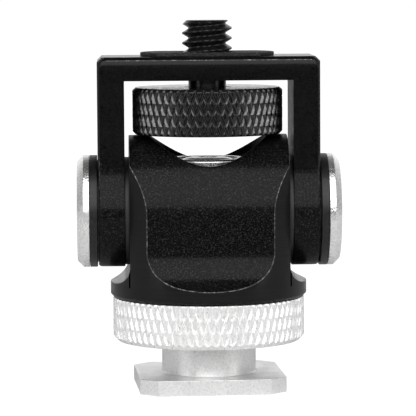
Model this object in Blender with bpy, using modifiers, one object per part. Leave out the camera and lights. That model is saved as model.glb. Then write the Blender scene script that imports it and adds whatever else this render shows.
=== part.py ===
"""Shoe-mount swivel and tilt bracket: clamping shoe foot, 360 degree swivel,
friction-held tilting yoke and a captive 1/4"-20 thumb screw.

Frame: metres, +Z up, origin at the centre of the shoe foot's underside.
The swivel axis is Z. The tilt axis runs along X at height TILT_Z.
"""
import math

import bmesh
import bpy
from mathutils import Matrix, Vector

MM = 0.001

# ---------------------------------------------------------------- dimensions
# shoe foot (slides into an accessory shoe)
FOOT_X = 18.5 * MM             # across the shoe
FOOT_Y = 17.6 * MM             # along the shoe
FOOT_T = 1.95 * MM             # plate thickness
FOOT_CORNER = 2.15 * MM        # 45 degree corner chamfer
FOOT_TURN = 3.0                # degrees: how far the foot stands round from the tilt axis at rest
FOOT_EDGE = 0.2 * MM           # edge break round the underside
NECK_R = 6.0 * MM              # round neck that passes between the shoe's rails
NECK_TOP = 6.55 * MM
STEM_R = 4.0 * MM              # M8 stem that carries the lock ring
STEM_TOP = 11.65 * MM
STEM_HOLE_R = 2.06 * MM        # tapped for the swivel bolt
STEM_HOLE_FLOOR = 3.0 * MM

# lock ring and its slip pad
RING_R = 12.2 * MM
RING_BOTTOM = 6.1 * MM
RING_TOP = 11.62 * MM
RING_CHAMFER = 0.4 * MM
RING_BORE_R = 4.1 * MM
RING_RECESS_R = 6.4 * MM       # clears the neck as the ring screws down
RING_RECESS_TOP = 9.55 * MM
PAD_SEAT_R = 10.0 * MM
PAD_SEAT_TOP = 6.9 * MM
PAD_R_IN = 6.45 * MM
PAD_R_OUT = 9.95 * MM
PAD_TOP = 6.85 * MM

# swivel body: a 25 mm turned bar, milled to a barrel across the tilt axis
TILT_Z = 22.62 * MM
BODY_R = 12.5 * MM
BODY_BOTTOM = 11.72 * MM
BODY_CHAMFER = 0.4 * MM
BARREL_R = 9.65 * MM
BARREL_HALF = 10.05 * MM       # half width between the two tilt faces
FRONT_FILLET_R = 5.27 * MM     # concave sweep from barrel wall to base flange
FRONT_FILLET_DROP = 4.5 * MM   # centre of that sweep below the tilt axis
SIDE_FILLET_R = 2.35 * MM      # concave sweep below each tilt face
SIDE_FILLET_DROP = 6.58 * MM
SADDLE_R = 7.5 * MM            # vertical pocket for the swivel bolt
SADDLE_FLOOR = 25.2 * MM
BODY_BORE_R = 2.15 * MM
WASHER_SEAT_R = 6.15 * MM
WASHER_SEAT_TOP = 12.43 * MM
AXLE_HOLE_R = 2.06 * MM        # tapped for the tilt screws
AXLE_HOLE_END = 5.0 * MM       # distance from the centre line

# swivel stack
SWIVEL_WASHER = (2.2 * MM, 6.0 * MM, 11.70 * MM, 12.38 * MM)   # r in, r out, z low, z high
FLAT_WASHER = (2.2 * MM, 6.6 * MM, 25.25 * MM, 25.90 * MM)
SPRING_Z = 25.95 * MM
SPRING_R_IN = 2.2 * MM
SPRING_R_OUT = 5.6 * MM
SPRING_T = 0.35 * MM
SPRING_RISE = 0.30 * MM
CUP_R = 5.25 * MM              # cup washer round the bolt head
CUP_BOTTOM = 26.65 * MM
CUP_FLOOR = 27.15 * MM
CUP_TOP = 29.30 * MM
CUP_POCKET_R = 4.05 * MM
BOLT_R = 2.0 * MM              # M4
BOLT_HEAD_R = 3.8 * MM
BOLT_HEAD_LOW = 27.20 * MM
BOLT_HEAD_TOP = 29.40 * MM
BOLT_END = 3.3 * MM
BOLT_HEX = 2.5 * MM            # across flats
BOLT_HEX_DEPTH = 1.3 * MM

# yoke
YOKE_X = 28.0 * MM
YOKE_Y = 11.8 * MM
YOKE_TOP = 42.3 * MM
YOKE_PLATE_T = 3.0 * MM
LEG_T = 3.4 * MM
HUB_R = 7.1 * MM
HUB_FACE = 13.96 * MM          # outer face of the hub, just inside the leg's face
THRUST_SEAT_R = 6.7 * MM       # counterbore for the thrust washer
THRUST_SEAT_FLOOR = 13.65 * MM
YOKE_SIDE_CHAMFER = 0.6 * MM
YOKE_EDGE = 0.35 * MM
YOKE_BORE_R = 3.05 * MM        # bore for the tilt bush
SCREW_HOLE_R = 3.4 * MM
CLIP_SEAT_R = 4.6 * MM
CLIP_SEAT_FLOOR = 40.8 * MM

# tilt stack, distances outward from the centre line along X
INNER_WASHER = (2.2 * MM, 6.85 * MM, 10.10 * MM, 10.56 * MM)
BUSH = (2.1 * MM, 3.0 * MM, 10.62 * MM, 13.62 * MM)
THRUST_WASHER = (2.2 * MM, 6.5 * MM, 13.70 * MM, 14.04 * MM)
SPACER_RING = (5.6 * MM, 7.13 * MM, 14.08 * MM, 15.05 * MM)
TILT_SPRING_X = 14.08 * MM
TILT_SPRING_R_OUT = 5.4 * MM
TILT_SPRING_T = 0.35 * MM
TILT_SPRING_RISE = 0.55 * MM
CAP_R = 7.13 * MM
CAP_IN = 15.10 * MM
CAP_OUT = 16.65 * MM
CAP_CHAMFER = 0.80 * MM
CAP_BORE_R = 2.1 * MM
CAP_POCKET_R = 3.65 * MM
CAP_POCKET_FLOOR = 15.80 * MM
TILT_SCREW_R = 2.0 * MM        # M4
TILT_SCREW_END = 5.2 * MM
TILT_HEAD_R = 3.5 * MM
TILT_HEAD_IN = 15.85 * MM
TILT_HEAD_OUT = 16.50 * MM
TILT_HEX = 2.5 * MM
TILT_HEX_DEPTH = 1.6 * MM

# thumb wheel, captive screw, clip and pad
WHEEL_R = 9.54 * MM
WHEEL_LOW = 32.40 * MM
WHEEL_HIGH = 38.32 * MM
WHEEL_CHAMFER = 0.5 * MM
WHEEL_BORE_R = 3.05 * MM
SCREW_ROOT_LOW = 32.9 * MM
SCREW_PRESS_R = 3.0 * MM
SCREW_NECK_R = 2.39 * MM       # undercut that lets the screw float in the plate
SCREW_NECK_LOW = 38.30 * MM
SCREW_THREAD_LOW = 41.35 * MM
SCREW_THREAD_R = 3.17 * MM     # 1/4"-20 UNC, 6.35 mm
SCREW_TOP = 46.79 * MM
SCREW_TIP = 0.55 * MM
CLIP = (2.47 * MM, 4.3 * MM, 40.85 * MM, 41.25 * MM)
CLIP_MOUTH = 2.6 * MM
PAD_R = 8.5 * MM
PAD_HALF_Y = 5.5 * MM
PAD_LOW = 42.33 * MM
PAD_HIGH = 42.78 * MM
PAD_HOLE_R = 3.5 * MM

# facets round a full turn
N_LARGE = 48
N_MEDIUM = 36
N_SMALL = 24
WELD = 0.000001

# ------------------------------------------------------------------ set-up
for ob in list(bpy.data.objects):
    bpy.data.objects.remove(ob, do_unlink=True)

scene = bpy.context.scene
parts = bpy.data.collections.new("shoe_swivel_bracket")
cutters = bpy.data.collections.new("cutters")
scene.collection.children.link(parts)
scene.collection.children.link(cutters)


def material(name, colour, roughness, metallic):
    """A Principled material in the part's own colour."""
    mat = bpy.data.materials.new(name)
    mat.use_nodes = True
    bsdf = mat.node_tree.nodes["Principled BSDF"]
    bsdf.inputs["Base Color"].default_value = (*colour, 1.0)
    bsdf.inputs["Roughness"].default_value = roughness
    bsdf.inputs["Metallic"].default_value = metallic
    mat.diffuse_color = (*colour, 1.0)
    return mat


BLACK = (0.018, 0.018, 0.020)
BLACK_TURNED = (0.022, 0.022, 0.024)
SILVER = (0.80, 0.80, 0.81)
STEEL = (0.58, 0.58, 0.60)
DARK_STEEL = (0.035, 0.035, 0.038)
RUBBER = (0.020, 0.020, 0.020)
NYLON = (0.045, 0.045, 0.048)
BRASS = (0.72, 0.55, 0.26)


# ----------------------------------------------------------------- helpers
def finish(ob, collection, mat_spec=None, smooth=True):
    """Link an object, give it its material, and shade it smooth with sharp edges."""
    collection.objects.link(ob)
    if mat_spec:
        ob.data.materials.clear()
        ob.data.materials.append(material(ob.name + "_finish", *mat_spec))
    if smooth and ob.type == "MESH" and len(ob.data.polygons):
        ob.data.shade_smooth()
        ob.data.set_sharp_from_angle(angle=math.radians(32))
    return ob


def as_cutter(ob):
    ob.hide_render = True
    ob.display_type = "WIRE"
    return ob


def turned(name, profile, steps, collection=None, mat_spec=None):
    """Revolve a profile of (radius, height) points about local Z.

    The profile runs down the outer side. It either closes on itself or starts and
    ends on the axis.
    """
    mesh = bpy.data.meshes.new(name)
    bm = bmesh.new()
    verts = [bm.verts.new((r, 0.0, z)) for r, z in profile]
    for a, b in zip(verts, verts[1:]):
        bm.edges.new((a, b))
    if profile[0][0] > 0.0:
        bm.edges.new((verts[-1], verts[0]))
    bm.to_mesh(mesh)
    bm.free()
    ob = bpy.data.objects.new(name, mesh)
    finish(ob, collection or parts, mat_spec, smooth=False)
    mod = ob.modifiers.new("turn", "SCREW")
    mod.axis = "Z"
    mod.angle = math.tau
    mod.steps = steps
    mod.render_steps = steps
    mod.use_merge_vertices = True
    mod.merge_threshold = WELD
    mod.use_smooth_shade = True
    return ob


def ring_profile(r_in, r_out, low, high):
    """Section of a plain washer."""
    return [(r_out, high), (r_out, low), (r_in, low), (r_in, high)]


def rod_profile(radius, low, high):
    """Section of a plain solid rod."""
    return [(0.0, high), (radius, high), (radius, low), (0.0, low)]


def cone_ring_profile(r_in, r_out, low, thick, rise):
    """Section of a disc spring: its inner edge stands proud of its outer edge by rise."""
    return [(r_out, low + thick), (r_out, low), (r_in, low + rise), (r_in, low + rise + thick)]


def arc(cx, cy, radius, start, end, count):
    """Points on an arc, angles in degrees."""
    out = []
    for i in range(count + 1):
        a = math.radians(start + (end - start) * i / count)
        out.append((cx + radius * math.cos(a), cy + radius * math.sin(a)))
    return out


def prism(name, outline, half, rotation, collection=None, mat_spec=None, location=(0, 0, 0)):
    """A flat closed outline, extruded half each way along its own normal, as a mesh."""
    curve = bpy.data.curves.new(name + "_outline", "CURVE")
    curve.dimensions = "2D"
    curve.fill_mode = "BOTH"
    curve.extrude = half
    spline = curve.splines.new("POLY")
    spline.points.add(len(outline) - 1)
    for point, (u, v) in zip(spline.points, outline):
        point.co = (u, v, 0.0, 1.0)
    spline.use_cyclic_u = True
    guide = bpy.data.objects.new(name + "_outline", curve)
    guide.rotation_euler = rotation
    guide.location = location
    scene.collection.objects.link(guide)
    bpy.context.view_layer.update()
    mesh = bpy.data.meshes.new_from_object(guide.evaluated_get(bpy.context.evaluated_depsgraph_get()))
    mesh.name = name
    bm = bmesh.new()
    bm.from_mesh(mesh)
    bmesh.ops.remove_doubles(bm, verts=bm.verts, dist=WELD)
    bmesh.ops.dissolve_limit(bm, angle_limit=math.radians(0.5), verts=bm.verts, edges=bm.edges)
    bmesh.ops.recalc_face_normals(bm, faces=bm.faces)
    bm.to_mesh(mesh)
    bm.free()
    ob = bpy.data.objects.new(name, mesh)
    ob.matrix_world = guide.matrix_world
    bpy.data.objects.remove(guide, do_unlink=True)
    return finish(ob, collection or parts, mat_spec)


def chamfer(ob, width, pick):
    """Chamfer the mesh edges for which pick(end_a, end_b) is true (object space)."""
    bm = bmesh.new()
    bm.from_mesh(ob.data)
    bm.edges.ensure_lookup_table()
    chosen = [e for e in bm.edges if len(e.link_faces) == 2 and pick(e.verts[0].co, e.verts[1].co)
              and e.calc_face_angle(0.0) > math.radians(20)]
    bmesh.ops.bevel(bm, geom=chosen, offset=width, offset_type="OFFSET", segments=1, profile=0.5,
                    affect="EDGES", clamp_overlap=True)
    bm.to_mesh(ob.data)
    bm.free()


def boolean(ob, other, operation="DIFFERENCE"):
    mod = ob.modifiers.new(operation.lower() + "_" + other.name, "BOOLEAN")
    mod.operation = operation
    mod.solver = "EXACT"
    mod.object = other
    return mod


def rod_cutter(name, radius, low, high, steps, rotation=(0, 0, 0), location=(0, 0, 0)):
    ob = turned(name, rod_profile(radius, low, high), steps, cutters)
    ob.rotation_euler = rotation
    ob.location = location
    return as_cutter(ob)


def box_cutter(name, low, high):
    mesh = bpy.data.meshes.new(name)
    bm = bmesh.new()
    bmesh.ops.create_cube(bm, size=1.0)
    size = [h - l for l, h in zip(low, high)]
    mid = [(l + h) / 2 for l, h in zip(low, high)]
    bmesh.ops.scale(bm, vec=size, verts=bm.verts)
    bmesh.ops.translate(bm, vec=mid, verts=bm.verts)
    bm.to_mesh(mesh)
    bm.free()
    ob = bpy.data.objects.new(name, mesh)
    cutters.objects.link(ob)
    return as_cutter(ob)


def hex_cutter(name, across, low, high, rotation=(0, 0, 0), location=(0, 0, 0)):
    """A six-sided key socket along local Z."""
    mesh = bpy.data.meshes.new(name)
    bm = bmesh.new()
    radius = across / math.sqrt(3.0)
    bmesh.ops.create_cone(bm, cap_ends=True, segments=6, radius1=radius, radius2=radius,
                          depth=high - low)
    bmesh.ops.translate(bm, vec=(0, 0, (low + high) / 2), verts=bm.verts)
    bm.to_mesh(mesh)
    bm.free()
    ob = bpy.data.objects.new(name, mesh)
    ob.rotation_euler = rotation
    ob.location = location
    cutters.objects.link(ob)
    return as_cutter(ob)


def axis_empty(name, location, parent=None):
    ob = bpy.data.objects.new(name, None)
    ob.empty_display_size = 0.005
    ob.location = location
    scene.collection.objects.link(ob)
    if parent:
        ob.parent = parent
        ob.location = Vector(location) - Vector(WORLD[parent.name])
    WORLD[name] = tuple(location)
    return ob


def hang(ob, empty):
    """Parent a piece to a joint's empty and keep where it stands."""
    ob.location = Vector(ob.location) - Vector(WORLD[empty.name])
    ob.parent = empty
    return ob


WORLD = {}
TO_X = (0.0, math.pi / 2, 0.0)       # local Z becomes world +X
TO_MINUS_X = (0.0, -math.pi / 2, 0.0)
FACE_YZ = (math.pi / 2, 0.0, math.pi / 2)   # outline (u, v) becomes (Y, Z)
FACE_XZ = (math.pi / 2, 0.0, 0.0)           # outline (u, v) becomes (X, Z)

foot_axis = axis_empty("foot_base", (0, 0, 0))
ring_axis = axis_empty("ring_axis", (0, 0, RING_BOTTOM), foot_axis)
swivel_axis = axis_empty("swivel_axis", (0, 0, BODY_BOTTOM), foot_axis)
tilt_axis = axis_empty("tilt_axis", (0, 0, TILT_Z), swivel_axis)
thumb_axis = axis_empty("thumb_axis", (0, 0, WHEEL_HIGH), tilt_axis)

# ---------------------------------------------------------------- shoe foot
a, b, c = FOOT_X / 2, FOOT_Y / 2, FOOT_CORNER
plate_outline = [(-a + c, -b), (a - c, -b), (a, -b + c), (a, b - c), (a - c, b), (-a + c, b),
                 (-a, b - c), (-a, -b + c)]
turn_c, turn_s = math.cos(math.radians(FOOT_TURN)), math.sin(math.radians(FOOT_TURN))
plate_outline = [(x * turn_c - y * turn_s, x * turn_s + y * turn_c) for x, y in plate_outline]
foot = prism("shoe_foot", plate_outline, FOOT_T / 2, (0, 0, 0), mat_spec=(SILVER, 0.38, 1.0),
             location=(0, 0, FOOT_T / 2))
chamfer(foot, FOOT_EDGE, lambda p, q: p.z < 0 and q.z < 0)
neck = turned("neck_and_stem",
              [(0.0, STEM_TOP), (STEM_R - 0.3 * MM, STEM_TOP), (STEM_R, STEM_TOP - 0.3 * MM),
               (STEM_R, NECK_TOP), (NECK_R - 0.2 * MM, NECK_TOP), (NECK_R, NECK_TOP - 0.2 * MM),
               (NECK_R, FOOT_T / 2), (0.0, FOOT_T / 2)], N_MEDIUM, cutters)
boolean(foot, as_cutter(neck), "UNION")
boolean(foot, rod_cutter("stem_hole", STEM_HOLE_R, STEM_HOLE_FLOOR, STEM_TOP + MM, N_SMALL))
hang(foot, foot_axis)

# ------------------------------------------------------- lock ring and pad
k = RING_CHAMFER
ring = turned("lock_ring",
              [(RING_R - k, RING_TOP), (RING_R, RING_TOP - k), (RING_R, RING_BOTTOM + k),
               (RING_R - k, RING_BOTTOM), (PAD_SEAT_R, RING_BOTTOM), (PAD_SEAT_R, PAD_SEAT_TOP),
               (RING_RECESS_R, PAD_SEAT_TOP), (RING_RECESS_R, RING_RECESS_TOP),
               (RING_BORE_R, RING_RECESS_TOP), (RING_BORE_R, RING_TOP)],
              N_LARGE, mat_spec=(SILVER, 0.35, 1.0))
hang(ring, ring_axis)
pad = turned("ring_pad", ring_profile(PAD_R_IN, PAD_R_OUT, RING_BOTTOM, PAD_TOP), N_MEDIUM,
             mat_spec=(NYLON, 0.55, 0.0))
hang(pad, ring_axis)

# ------------------------------------------------------------- swivel body
k = BODY_CHAMFER
body = turned("swivel_body",
              [(0.0, TILT_Z + BARREL_R + MM), (BODY_R, TILT_Z + BARREL_R + MM),
               (BODY_R, BODY_BOTTOM + k), (BODY_R - k, BODY_BOTTOM), (0.0, BODY_BOTTOM)],
              N_LARGE, mat_spec=(BLACK_TURNED, 0.42, 0.6))

# barrel seen along the tilt axis, with its concave sweeps down to the flange
far = BODY_R + 0.7 * MM
cy, cz = BARREL_R + FRONT_FILLET_R, TILT_Z - FRONT_FILLET_DROP
sweep = math.degrees(math.acos((cy - far) / FRONT_FILLET_R))
right_sweep = arc(cy, cz, FRONT_FILLET_R, 180 + sweep, 180, 9)
top_arc = arc(0.0, TILT_Z, BARREL_R, 0, 180, 30)
left_sweep = [(-y, z) for y, z in reversed(right_sweep)]
low = BODY_BOTTOM - MM
barrel_outline = [(-far, low), (far, low)] + right_sweep + top_arc + left_sweep
barrel = prism("barrel_form", barrel_outline, 15 * MM, FACE_YZ, cutters)
boolean(body, as_cutter(barrel), "INTERSECT")

# tilt faces and the sweeps below them, seen from the front
cx, cz = BARREL_HALF + SIDE_FILLET_R, TILT_Z - SIDE_FILLET_DROP
right_sweep = [(far, cz - SIDE_FILLET_R)] + arc(cx, cz, SIDE_FILLET_R, 270, 180, 8)
left_sweep = [(-x, z) for x, z in reversed(right_sweep)]
high = TILT_Z + BARREL_R + 2 * MM
side_outline = ([(-far, low), (far, low)] + right_sweep + [(BARREL_HALF, high), (-BARREL_HALF, high)]
                + left_sweep)
sides = prism("side_form", side_outline, 15 * MM, FACE_XZ, cutters)
boolean(body, as_cutter(sides), "INTERSECT")
boolean(body, rod_cutter("saddle", SADDLE_R, SADDLE_FLOOR, high, N_MEDIUM))
boolean(body, rod_cutter("swivel_bore", BODY_BORE_R, low, high, N_SMALL))
boolean(body, rod_cutter("washer_seat", WASHER_SEAT_R, low, WASHER_SEAT_TOP, N_MEDIUM))
for side, turn in (("right", TO_X), ("left", TO_MINUS_X)):
    boolean(body, rod_cutter(side + "_axle_hole", AXLE_HOLE_R, AXLE_HOLE_END, 12 * MM, N_SMALL,
                             turn, (0, 0, TILT_Z)))
hang(body, swivel_axis)

# ------------------------------------------------------------ swivel stack
hang(turned("swivel_friction_washer", ring_profile(*SWIVEL_WASHER), N_MEDIUM,
            mat_spec=(NYLON, 0.5, 0.0)), swivel_axis)
hang(turned("swivel_flat_washer", ring_profile(*FLAT_WASHER), N_MEDIUM,
            mat_spec=(STEEL, 0.3, 1.0)), swivel_axis)
hang(turned("swivel_disc_spring",
            cone_ring_profile(SPRING_R_IN, SPRING_R_OUT, SPRING_Z, SPRING_T, SPRING_RISE), N_MEDIUM,
            mat_spec=(STEEL, 0.35, 1.0)), swivel_axis)
cup = turned("swivel_cup_washer",
             [(CUP_R - 0.25 * MM, CUP_TOP), (CUP_R, CUP_TOP - 0.25 * MM), (CUP_R, CUP_BOTTOM),
              (2.2 * MM, CUP_BOTTOM), (2.2 * MM, CUP_FLOOR), (CUP_POCKET_R, CUP_FLOOR),
              (CUP_POCKET_R, CUP_TOP)], N_MEDIUM, mat_spec=(SILVER, 0.25, 1.0))
hang(cup, swivel_axis)

crown = [(BOLT_HEAD_R - 0.5 * MM, BOLT_HEAD_TOP - 0.42 * MM), (BOLT_HEAD_R, BOLT_HEAD_TOP - 1.0 * MM)]
bolt = turned("swivel_bolt",
              [(0.0, BOLT_HEAD_TOP), (2.0 * MM, BOLT_HEAD_TOP), (2.8 * MM, BOLT_HEAD_TOP - 0.14 * MM)]
              + crown + [(BOLT_HEAD_R, BOLT_HEAD_LOW), (BOLT_R, BOLT_HEAD_LOW),
                         (BOLT_R, BOLT_END + 0.3 * MM), (BOLT_R - 0.3 * MM, BOLT_END), (0.0, BOLT_END)],
              N_SMALL, mat_spec=(SILVER, 0.25, 1.0))
boolean(bolt, hex_cutter("bolt_socket", BOLT_HEX, BOLT_HEAD_TOP - BOLT_HEX_DEPTH, BOLT_HEAD_TOP + MM))
hang(bolt, swivel_axis)

# -------------------------------------------------------------------- yoke
mesh = bpy.data.meshes.new("yoke")
bm = bmesh.new()
bmesh.ops.create_cube(bm, size=1.0)
bmesh.ops.scale(bm, vec=(YOKE_X, YOKE_Y, YOKE_TOP - TILT_Z), verts=bm.verts)
bmesh.ops.translate(bm, vec=(0, 0, (YOKE_TOP - TILT_Z) / 2), verts=bm.verts)
bm.to_mesh(mesh)
bm.free()
yoke = bpy.data.objects.new("yoke", mesh)
yoke.location = (0, 0, TILT_Z)
top = YOKE_TOP - TILT_Z
eps = 0.001 * MM
chamfer(yoke, YOKE_SIDE_CHAMFER,
        lambda p, q: p.z > top - eps and q.z > top - eps and abs(p.x - q.x) < eps)
chamfer(yoke, YOKE_EDGE,
        lambda p, q: abs(abs(p.y) - YOKE_Y / 2) < eps and abs(p.y - q.y) < eps
        and not (p.z < eps and q.z < eps))
finish(yoke, parts, (BLACK, 0.45, 0.6))
inner = YOKE_X / 2 - LEG_T
boolean(yoke, box_cutter("window", (-inner, -YOKE_Y, TILT_Z - MM), (inner, YOKE_Y, YOKE_TOP - YOKE_PLATE_T)))
for side, turn in (("right", TO_X), ("left", TO_MINUS_X)):
    hub = turned(side + "_hub", [(0.0, HUB_FACE), (HUB_R, HUB_FACE), (HUB_R, inner), (0.0, inner)],
                 N_LARGE, cutters)
    hub.rotation_euler = turn
    hub.location = (0, 0, TILT_Z)
    boolean(yoke, as_cutter(hub), "UNION")
    boolean(yoke, rod_cutter(side + "_thrust_seat", THRUST_SEAT_R, THRUST_SEAT_FLOOR, 15 * MM, N_MEDIUM, turn,
                             (0, 0, TILT_Z)))
    boolean(yoke, rod_cutter(side + "_hub_bore", YOKE_BORE_R, 9 * MM, 15 * MM, N_SMALL, turn, (0, 0, TILT_Z)))
boolean(yoke, rod_cutter("screw_hole", SCREW_HOLE_R, YOKE_TOP - YOKE_PLATE_T - MM, YOKE_TOP + MM, N_SMALL))
boolean(yoke, rod_cutter("clip_seat", CLIP_SEAT_R, CLIP_SEAT_FLOOR, YOKE_TOP + MM, N_SMALL))
hang(yoke, tilt_axis)

# -------------------------------------------------------------- tilt stack
stack = [
    ("inner_friction_washer", ring_profile(*INNER_WASHER), N_LARGE, (NYLON, 0.5, 0.0)),
    ("tilt_bush", ring_profile(*BUSH), N_SMALL, (BRASS, 0.3, 1.0)),
    ("thrust_washer", ring_profile(*THRUST_WASHER), N_MEDIUM, (STEEL, 0.3, 1.0)),
    ("disc_spring", cone_ring_profile(2.2 * MM, TILT_SPRING_R_OUT, TILT_SPRING_X, TILT_SPRING_T,
                                      TILT_SPRING_RISE), N_MEDIUM, (STEEL, 0.35, 1.0)),
    ("spacer_ring", ring_profile(*SPACER_RING), N_LARGE, (BLACK_TURNED, 0.4, 0.5)),
    ("end_cap",
     [(CAP_R - CAP_CHAMFER, CAP_OUT), (CAP_R, CAP_OUT - CAP_CHAMFER), (CAP_R, CAP_IN),
      (CAP_BORE_R, CAP_IN), (CAP_BORE_R, CAP_POCKET_FLOOR), (CAP_POCKET_R, CAP_POCKET_FLOOR),
      (CAP_POCKET_R, CAP_OUT)], N_LARGE, (SILVER, 0.3, 1.0)),
    ("tilt_screw",
     [(0.0, TILT_HEAD_OUT), (TILT_HEAD_R - 0.25 * MM, TILT_HEAD_OUT),
      (TILT_HEAD_R, TILT_HEAD_OUT - 0.25 * MM), (TILT_HEAD_R, TILT_HEAD_IN),
      (TILT_SCREW_R, TILT_HEAD_IN), (TILT_SCREW_R, TILT_SCREW_END + 0.3 * MM),
      (TILT_SCREW_R - 0.3 * MM, TILT_SCREW_END), (0.0, TILT_SCREW_END)], N_SMALL,
     (DARK_STEEL, 0.35, 1.0)),
]
for name, profile, steps, spec in stack:
    for side, turn in (("left", TO_MINUS_X), ("right", TO_X)):
        piece = turned(side + "_" + name, profile, steps, mat_spec=spec)
        piece.rotation_euler = turn
        piece.location = (0, 0, TILT_Z)
        if name == "tilt_screw":
            boolean(piece, hex_cutter(side + "_screw_socket", TILT_HEX, TILT_HEAD_OUT - TILT_HEX_DEPTH,
                                      TILT_HEAD_OUT + MM, turn, (0, 0, TILT_Z)))
        hang(piece, tilt_axis)

# ------------------------------------- thumb wheel, screw, clip and top pad
k = WHEEL_CHAMFER
wheel = turned("thumb_wheel",
               [(WHEEL_R - k, WHEEL_HIGH), (WHEEL_R, WHEEL_HIGH - k), (WHEEL_R, WHEEL_LOW + k),
                (WHEEL_R - k, WHEEL_LOW), (WHEEL_BORE_R, WHEEL_LOW), (WHEEL_BORE_R, WHEEL_HIGH)],
               N_LARGE, mat_spec=(BLACK, 0.4, 0.6))
hang(wheel, thumb_axis)
k = SCREW_TIP
screw = turned("camera_screw",
               [(0.0, SCREW_TOP), (SCREW_THREAD_R - k, SCREW_TOP), (SCREW_THREAD_R, SCREW_TOP - k),
                (SCREW_THREAD_R, SCREW_THREAD_LOW + 0.5 * MM), (SCREW_NECK_R, SCREW_THREAD_LOW),
                (SCREW_NECK_R, SCREW_NECK_LOW), (SCREW_PRESS_R, SCREW_NECK_LOW),
                (SCREW_PRESS_R, SCREW_ROOT_LOW + 0.3 * MM), (SCREW_PRESS_R - 0.3 * MM, SCREW_ROOT_LOW),
                (0.0, SCREW_ROOT_LOW)], N_SMALL, mat_spec=(BLACK, 0.35, 0.7))
hang(screw, thumb_axis)
clip = turned("retaining_clip", ring_profile(*CLIP), N_SMALL, mat_spec=(STEEL, 0.3, 1.0))
boolean(clip, box_cutter("clip_mouth", (-CLIP_MOUTH / 2, 0.0, 40 * MM), (CLIP_MOUTH / 2, 6 * MM, 42 * MM)))
hang(clip, thumb_axis)

span = math.degrees(math.asin(PAD_HALF_Y / PAD_R))
pad_outline = arc(0, 0, PAD_R, -span, span, 14) + arc(0, 0, PAD_R, 180 - span, 180 + span, 14)
top_pad = prism("top_pad", pad_outline, (PAD_HIGH - PAD_LOW) / 2, (0, 0, 0),
                mat_spec=(RUBBER, 0.85, 0.0), location=(0, 0, (PAD_LOW + PAD_HIGH) / 2))
boolean(top_pad, rod_cutter("pad_hole", PAD_HOLE_R, PAD_LOW - MM, PAD_HIGH + MM, N_SMALL))
hang(top_pad, tilt_axis)

bpy.context.view_layer.update()
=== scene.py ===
"""Looks for the shoe-mount swivel and tilt bracket: fine meshes for the visible pieces,
procedural finishes, a pale floor, soft studio light and the camera."""
import math

import bmesh
import bpy
import numpy as np
from mathutils import Euler, Matrix, Vector


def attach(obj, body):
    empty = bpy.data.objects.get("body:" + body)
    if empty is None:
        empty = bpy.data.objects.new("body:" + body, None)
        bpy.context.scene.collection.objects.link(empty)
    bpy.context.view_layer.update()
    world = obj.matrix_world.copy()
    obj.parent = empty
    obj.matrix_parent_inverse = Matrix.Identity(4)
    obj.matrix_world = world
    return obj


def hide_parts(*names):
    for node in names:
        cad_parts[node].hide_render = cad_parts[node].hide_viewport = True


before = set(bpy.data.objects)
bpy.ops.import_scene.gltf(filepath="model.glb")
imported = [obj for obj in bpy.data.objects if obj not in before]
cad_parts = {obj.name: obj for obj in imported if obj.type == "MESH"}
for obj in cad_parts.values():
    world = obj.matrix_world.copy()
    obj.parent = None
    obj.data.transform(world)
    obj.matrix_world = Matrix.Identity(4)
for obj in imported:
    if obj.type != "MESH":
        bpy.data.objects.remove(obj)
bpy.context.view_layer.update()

MM = 0.001

# ------------------------------------------------------------------ sizes, in mm
TILT_Z = 22.62
FOOT_X, FOOT_Y, FOOT_T, FOOT_CORNER, FOOT_TURN = 18.5, 17.6, 1.95, 2.15, 3.0
NECK_R, NECK_TOP, STEM_R, STEM_TOP = 6.0, 6.55, 4.0, 11.65
RING_R, RING_LOW, RING_HIGH = 12.2, 6.1, 11.62
BODY_R, BODY_LOW = 12.5, 11.72
BARREL_R, BARREL_HALF = 9.65, 10.05
FRONT_FILLET_R, FRONT_DROP = 5.27, 4.5
SIDE_FILLET_R, SIDE_DROP = 2.35, 6.58
SADDLE_R, SADDLE_FLOOR = 7.5, 25.2
YOKE_X, YOKE_Y, YOKE_TOP, PLATE_T, LEG_T = 28.0, 11.8, 42.3, 3.0, 3.4
HUB_R, HUB_FACE, SEAT_R, SEAT_FLOOR = 7.1, 13.96, 6.7, 13.65
WHEEL_R, WHEEL_LOW, WHEEL_HIGH = 9.54, 32.4, 38.32
THREAD_R, THREAD_PITCH, SCREW_TOP = 3.17, 1.27, 46.79
PAD_R, PAD_HALF_Y, PAD_LOW, PAD_HIGH = 8.5, 5.5, 42.33, 42.78

scene = bpy.context.scene


# ------------------------------------------------------------------ mesh helpers
def link(name, mesh):
    ob = bpy.data.objects.new(name, mesh)
    scene.collection.objects.link(ob)
    return ob


def from_arrays(name, verts, faces, sharp=32.0):
    """A mesh object from vertices in mm and faces, in metres, smooth with sharp edges."""
    mesh = bpy.data.meshes.new(name)
    mesh.from_pydata([tuple(v) for v in np.asarray(verts, float) * MM], [], [tuple(f) for f in faces])
    mesh.validate()
    mesh.update()
    mesh.shade_smooth()
    mesh.set_sharp_from_angle(angle=math.radians(sharp))
    return link(name, mesh)


def arc(cx, cy, radius, start, end, count):
    """Points on an arc, angles in degrees."""
    return [(cx + radius * math.cos(math.radians(start + (end - start) * i / count)),
             cy + radius * math.sin(math.radians(start + (end - start) * i / count)))
            for i in range(count + 1)]


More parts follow.
